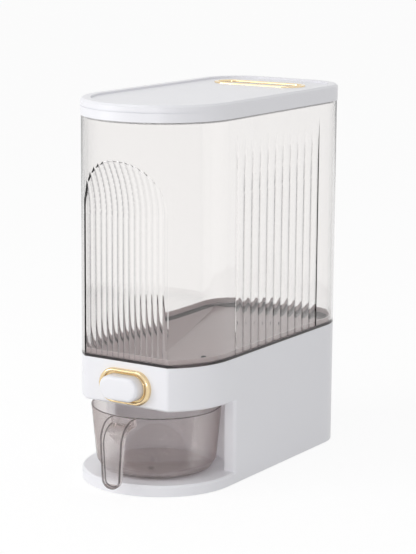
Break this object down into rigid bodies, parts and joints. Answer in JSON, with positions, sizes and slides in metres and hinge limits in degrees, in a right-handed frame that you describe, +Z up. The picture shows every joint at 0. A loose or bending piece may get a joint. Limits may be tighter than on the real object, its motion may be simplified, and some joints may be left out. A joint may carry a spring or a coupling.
{
  "type": "rice dispenser",
  "caption": "Countertop rice dispenser with a clear reeded tank, a push button that slides a gate over a measuring cup in an open bay, and a lift-off lid.",
  "frame": {"origin": "centre of the footprint, cup handle included, on the surface the feet stand on", "axes": "+Z up, -Y towards the cup and button, +X to the right of someone facing the cup"},
  "size_m": [0.165, 0.3555, 0.395],
  "materials": {
    "white_plastic": "gloss",
    "inner_plastic": "matte",
    "clear_plastic": "clear",
    "smoky_plastic": "clear",
    "cup_plastic": "clear",
    "gold_trim": "plated",
    "silicone": "matte",
    "spring_steel": "bright",
    "foot_rubber": "matte"
  },
  "bodies": {
    "base": {"base_housing": "white_plastic", "bottom_cover": "inner_plastic", "rubber_foot_1": "foot_rubber", "rubber_foot_2": "foot_rubber", "rubber_foot_3": "foot_rubber", "rubber_foot_4": "foot_rubber", "hopper": "smoky_plastic", "tank_wall": "clear_plastic", "outlet_seal": "silicone", "gate_tray": "inner_plastic", "return_spring_1": "spring_steel", "return_spring_2": "spring_steel", "button_bezel": "gold_trim"},
    "button": {"button_cap": "white_plastic", "gate_plate": "inner_plastic"},
    "cup": {"measuring_cup": "cup_plastic"},
    "lid": {"lid_cover": "white_plastic", "pull_trim": "gold_trim", "lid_liner": "inner_plastic", "lid_seal": "silicone"}
  },
  "joints": [
    {"name": "lid_lift", "type": "slide", "parent": "base", "child": "lid", "axis": [0, 0, 1], "range_m": [0, 0.06]},
    {"name": "button_press", "type": "slide", "parent": "base", "child": "button", "axis": [0, 1, 0], "range_m": [0, 0.0115], "stiffness_N_per_m": 400, "springref_m": -0.01, "deforming": ["return_spring_1", "return_spring_2"]},
    {"name": "cup_pull", "type": "slide", "parent": "base", "child": "cup", "axis": [0, -1, 0], "range_m": [0, 0.16]}
  ]
}
